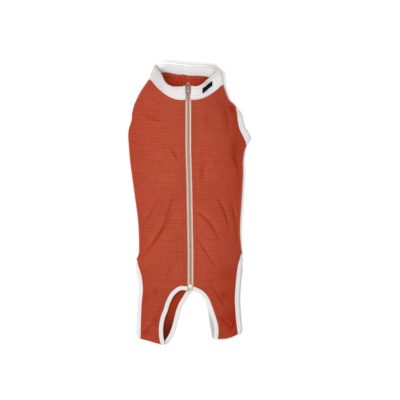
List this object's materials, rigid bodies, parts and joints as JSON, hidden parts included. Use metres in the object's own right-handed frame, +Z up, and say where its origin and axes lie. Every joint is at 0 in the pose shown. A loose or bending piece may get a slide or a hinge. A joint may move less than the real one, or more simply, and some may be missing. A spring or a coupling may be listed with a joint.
{
  "type": "pet recovery suit",
  "caption": "Sleeveless pet recovery suit in rib knit with a back zip, a white collar and bound leg and tail openings, lying flat",
  "frame": {"origin": "middle of the lying suit's footprint, on the floor", "axes": "+Y from the straps toward the neck, +X toward the right of the zip seen from above, +Z up through the zip side"},
  "size_m": [0.227, 0.5388, 0.0348],
  "materials": {
    "rib_knit": "matt rib knit",
    "white_knit": "matt knit binding",
    "zip_tape": "woven tape",
    "zip_chain": "satin plastic teeth",
    "zip_metal": "polished metal",
    "zip_box": "satin plastic",
    "black_tag": "woven black tape"
  },
  "bodies": {
    "suit": {"body_left": "rib_knit", "body_right": "rib_knit", "belly_seam": "rib_knit", "collar": "white_knit", "arm_binding_left": "white_knit", "arm_binding_right": "white_knit", "leg_binding_left": "white_knit", "leg_binding_right": "white_knit", "tail_binding": "white_knit", "zip_tape_left": "zip_tape", "zip_tape_right": "zip_tape", "zip_teeth_left": "zip_chain", "zip_teeth_right": "zip_chain", "zip_slider": "zip_metal", "zip_stop_left": "zip_metal", "zip_stop_right": "zip_metal", "zip_bottom_box": "zip_box", "neck_tag": "black_tag"},
    "zip_pull": {"zip_pull": "zip_metal"}
  },
  "joints": [
    {"name": "zip_pull_swing", "type": "hinge", "parent": "suit", "child": "zip_pull", "pos_m": [0.00048, 0.21201, 0.02489], "axis": [1, 0, 0], "range_deg": [0, 165]}
  ]
}
